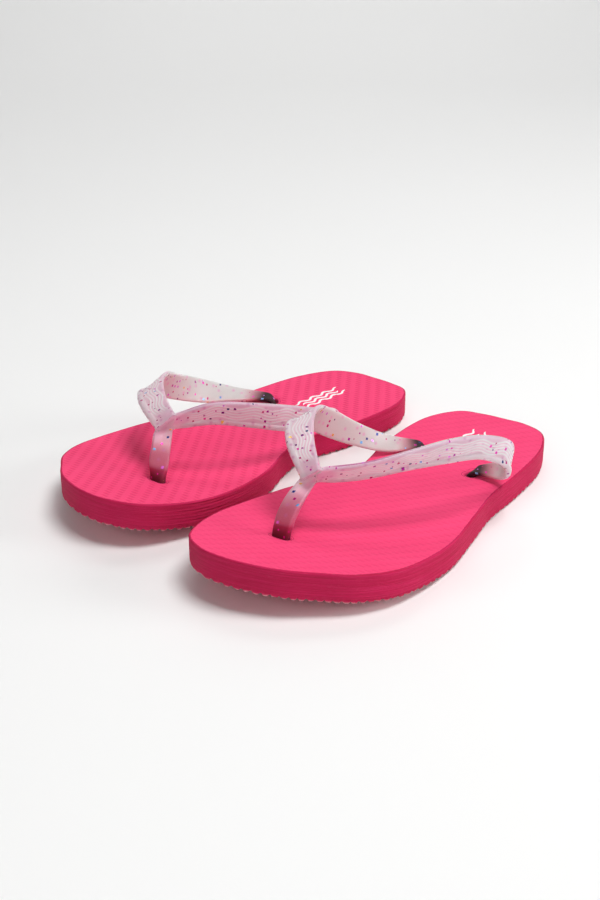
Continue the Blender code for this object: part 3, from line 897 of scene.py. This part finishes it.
def vinyl_material():
    n = Nodes("glitter_vinyl")
    detail = n.attribute("detail")
    along, across, hole = n.split(detail)
    on_post = n.math("LESS_THAN", along, PART_SHIFT * 2 / 3)
    # painted shade: the post is painted a deeper pink, for the shade under the arms and the pink
    # light from the footbed
    post = n.math("MULTIPLY", on_post,
                  n.math("DIVIDE", n.math("SUBTRACT", 34.0, along), 14.0, clamp=True), clamp=True)
    ridge, face, from_high = n.split(n.attribute("mould"))
    from_fork = n.math("MODULO", along, PART_SHIFT)
    inner = n.math("MULTIPLY", n.math("LESS_THAN", face, 0.0),
                   n.math("DIVIDE", n.math("SUBTRACT", from_fork, 3.0), 5.0, clamp=True))
    # flecks lie flat in the sheet: one chance in each small cell
    cell = n.new("ShaderNodeTexVoronoi", voronoi_dimensions="2D", feature="F1",
                 distance="CHEBYCHEV")
    n.link(detail, cell.inputs["Vector"])
    cell.inputs["Scale"].default_value = 0.40
    cell.inputs["Randomness"].default_value = 1.0
    dice = n.split(cell.outputs["Color"])
    size = n.math("MULTIPLY_ADD", dice[1], 0.17, 0.09)
    fleck = n.math("LESS_THAN", cell.outputs["Distance"], size)
    fleck = n.math("MULTIPLY", fleck, n.math("GREATER_THAN", dice[0], FLECK_CHANCE))
    hue = n.steps(dice[2], FLECKS, "CONSTANT")
    # flecks deeper in the sheet show as soft stains
    deep = n.new("ShaderNodeTexVoronoi", voronoi_dimensions="2D", feature="F1")
    n.link(n.scaled(detail, (1.0, 1.0, 0.0)), deep.inputs["Vector"])
    deep.inputs["Scale"].default_value = 0.27
    chance = n.split(deep.outputs["Color"])
    stain = n.math("MULTIPLY", n.math("SUBTRACT", 0.30, deep.outputs["Distance"], clamp=True), 2.6,
                   clamp=True)
    stain = n.math("MULTIPLY", stain, n.math("GREATER_THAN", chance[0], 0.62))
    # milky vinyl; the outer face is pinker, partly the vinyl's own tint and partly painted pink
    # light from the foam; painted shade darkens each end where it goes into the foam
    cloud = n.noise(detail, 0.13, 3.0, 0.5)
    frost = n.noise(detail, 3.4, 3.0, 0.65)
    body = n.mix(cloud, VINYL["milk"], VINYL["milk_pale"])
    # painted light: pink bounced from the foam, laid on the outer face and strongest towards the
    # high rim, over the vinyl's own pink tint
    towards_high_rim = n.math("SUBTRACT", 1.0, n.math("DIVIDE", from_high, 9.0), clamp=True)
    tint_and_bounce = n.math("DIVIDE", n.math("SUBTRACT", across, 2.7), 1.3, clamp=True)
    tint_and_bounce = n.math("MULTIPLY", tint_and_bounce, n.math("MULTIPLY_ADD", towards_high_rim, 0.35, 0.50))
    body = n.mix(tint_and_bounce, body, VINYL["pink_tint_and_bounce"])
    # painted shade: the inner face is painted mauve near the fork and grey further on
    back = n.mix(n.math("DIVIDE", n.math("SUBTRACT", from_fork, 22.0), 27.0, clamp=True),
                 VINYL["back_fork_shade"], VINYL["back"])
    body = n.mix(inner, body, back)
    body = n.mix(post, body, VINYL["post"])
    body = n.mix(stain, body, VINYL["stain"])
    body = n.mix(n.math("MULTIPLY", n.math("SUBTRACT", frost, 0.5, clamp=True), 0.9), body,
                 VINYL["frost"])
    # painted highlight: the wave ridges' crests are painted near white
    body = n.mix(ridge, body, VINYL["ridge"])
    # painted shade where the ends go into the holes
    end_shade = n.mix(on_post, n.steps(hole, ARM_END_SHADE), n.steps(hole, POST_END_SHADE))
    body = n.mix(n.math("MULTIPLY", hole, 2.2, clamp=True), body, end_shade)
    colour = n.mix(fleck, body, hue)
    n.link(colour, n.shader.inputs["Base Color"])
    n.link(n.math("MULTIPLY", fleck, 0.28), n.shader.inputs["Metallic"])
    rough = n.math("MULTIPLY_ADD", frost, 0.24, 0.20)
    rough = n.math("SUBTRACT", rough, n.math("MULTIPLY", fleck, 0.1))
    rough = n.math("MULTIPLY_ADD", hole, 0.35, rough)
    n.link(rough, n.shader.inputs["Roughness"])
    clear = n.math("MULTIPLY", n.math("SUBTRACT", 1.0, fleck),
                   n.math("MULTIPLY_ADD", ridge, -0.30, 0.36))
    clear = n.math("MULTIPLY", clear, n.math("MULTIPLY_ADD", inner, -0.65, 1.0))
    n.link(n.math("MULTIPLY", clear, n.math("SUBTRACT", 1.0, hole)),
           n.shader.inputs["Transmission Weight"])
    n.shader.inputs["IOR"].default_value = 1.40
    n.shader.inputs["Subsurface Weight"].default_value = 0.85
    n.shader.inputs["Subsurface Radius"].default_value = (1.0, 0.9, 0.93)
    n.shader.inputs["Subsurface Scale"].default_value = 0.006
    n.shader.inputs["Specular IOR Level"].default_value = 0.5
    frosted = n.bump(frost, 0.00006, 0.7)
    tilt = n.bump(n.math("MULTIPLY", dice[1], fleck), 0.00006, 0.5, frosted)
    n.link(tilt, n.shader.inputs["Normal"])
    return n.material


def ink_material():
    n = Nodes("white_print")
    place = n.attribute("place")
    wear = n.noise(place, 1.4, 4.0, 0.6)
    worn = n.steps(wear, [(0.28, PRINT_WORN), (0.42, PRINT_WHITE)])
    n.link(worn, n.shader.inputs["Base Color"])
    n.link(n.math("MULTIPLY_ADD", wear, 0.2, 0.45), n.shader.inputs["Roughness"])
    n.link(n.bump(wear, 0.00004, 0.6), n.shader.inputs["Normal"])
    return n.material


def floor_material():
    n = Nodes("pale_floor")
    where = n.new("ShaderNodeTexCoord").outputs["Object"]
    paper = n.noise(where, 900.0, 3.0, 0.6)
    broad = n.noise(where, 2.2, 2.0, 0.5)
    tone = n.mix(broad, PAPER, PAPER_PALE)
    n.link(tone, n.shader.inputs["Base Color"])
    n.shader.inputs["Roughness"].default_value = 0.9
    n.shader.inputs["Specular IOR Level"].default_value = 0.15
    n.link(n.bump(paper, 0.0001, 0.25), n.shader.inputs["Normal"])
    return n.material


# ---- the two shoes ----------------------------------------------------------
foam, vinyl, ink = foam_material(), vinyl_material(), ink_material()
for shoe in SHOES:
    heel, fore = shoe + "_heel", shoe + "_forefoot"
    strap, holes = strap_object(shoe)
    strap.data.materials.append(vinyl)
    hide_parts(shoe + "_strap")
    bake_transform(strap)

    slab = slab_object(shoe, holes)
    slab.data.materials.append(foam)
    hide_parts(shoe + "_sole_heel", shoe + "_sole_forefoot")
    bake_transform(slab)

    waves = print_object(shoe)
    waves.data.materials.append(ink)
    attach(waves, heel)

# ---- the camera -------------------------------------------------------------
YAW, PITCH, ROLL = math.radians(39.157), math.radians(23.652), math.radians(-0.335)
CAMERA_AT = Vector((0.3282, -0.4108, 0.2482))
right = Vector((math.cos(YAW), math.sin(YAW), 0.0))
ahead_dir = Vector((-math.sin(YAW) * math.cos(PITCH), math.cos(YAW) * math.cos(PITCH),
                    -math.sin(PITCH)))
up = right.cross(ahead_dir)
picture_right = right * math.cos(ROLL) + up * math.sin(ROLL)
picture_up = up * math.cos(ROLL) - right * math.sin(ROLL)
lens = bpy.data.cameras.new("camera")
lens.sensor_width = 36.0
lens.lens = 52.33
camera = bpy.data.objects.new("camera", lens)
camera.matrix_world = Matrix((
    (picture_right.x, picture_up.x, -ahead_dir.x, CAMERA_AT.x),
    (picture_right.y, picture_up.y, -ahead_dir.y, CAMERA_AT.y),
    (picture_right.z, picture_up.z, -ahead_dir.z, CAMERA_AT.z),
    (0, 0, 0, 1)))
bpy.context.scene.collection.objects.link(camera)
bpy.context.scene.camera = camera

# ---- floor and backdrop, one sweep of pale paper, in metres ------------------
SWEEP_HALF, SWEEP_AHEAD, SWEEP_RADIUS, SWEEP_TOP, SWEEP_STEPS = 9.0, 1.2, 0.9, 2.4, 24
sweep = bmesh.new()
flat_ahead = Vector((-math.sin(YAW), math.cos(YAW), 0.0))
run = [(-SWEEP_HALF, 0.0), (SWEEP_AHEAD, 0.0)]
for k in range(1, SWEEP_STEPS + 1):
    a = math.radians(90 * k / SWEEP_STEPS)
    run.append((SWEEP_AHEAD + SWEEP_RADIUS * math.sin(a), SWEEP_RADIUS * (1 - math.cos(a))))
run.append((SWEEP_AHEAD + SWEEP_RADIUS, SWEEP_TOP))
rows = [[sweep.verts.new(flat_ahead * d + right * x + Vector((0, 0, z)))
         for x in (-SWEEP_HALF, SWEEP_HALF)] for d, z in run]
for a, b in zip(rows, rows[1:]):
    sweep.faces.new((a[0], a[1], b[1], b[0]))
bmesh.ops.recalc_face_normals(sweep, faces=sweep.faces)
paper_mesh = bpy.data.meshes.new("studio_floor")
sweep.to_mesh(paper_mesh)
sweep.free()
paper_mesh.shade_smooth()
studio_floor = bpy.data.objects.new("studio_floor", paper_mesh)
bpy.context.scene.collection.objects.link(studio_floor)
studio_floor.data.materials.append(floor_material())


# ---- light ------------------------------------------------------------------
def soft_light(name, at, size, power, towards=(0, 0, 0)):
    """A round softbox; size in metres, power in watts."""
    data = bpy.data.lights.new(name, "AREA")
    data.shape = "DISK"
    data.size, data.energy = size, power
    obj = bpy.data.objects.new(name, data)
    obj.location = at
    obj.rotation_euler = (Vector(towards) - Vector(at)).to_track_quat("-Z", "Y").to_euler()
    bpy.context.scene.collection.objects.link(obj)


soft_light("top_softbox", (0.43, 0.03, 1.25), size=0.62, power=11.3)
soft_light("side_fill", (1.3, 0.7, 0.5), size=0.7, power=9.0)
soft_light("front_fill", (0.4, -1.4, 0.75), size=0.9, power=3.3)
soft_light("backdrop_light", flat_ahead * 1.2 + Vector((0, 0, 1.7)), size=1.3, power=12.0,
           towards=flat_ahead * 2.0 + Vector((0, 0, 0.2)))
world = bpy.data.worlds.new("world")
bpy.context.scene.world = world
world.use_nodes = True
background = world.node_tree.nodes["Background"]
background.inputs["Color"].default_value = (1.0, 1.0, 1.0, 1.0)
background.inputs["Strength"].default_value = 0.17
bpy.context.scene.view_settings.view_transform = "Standard"
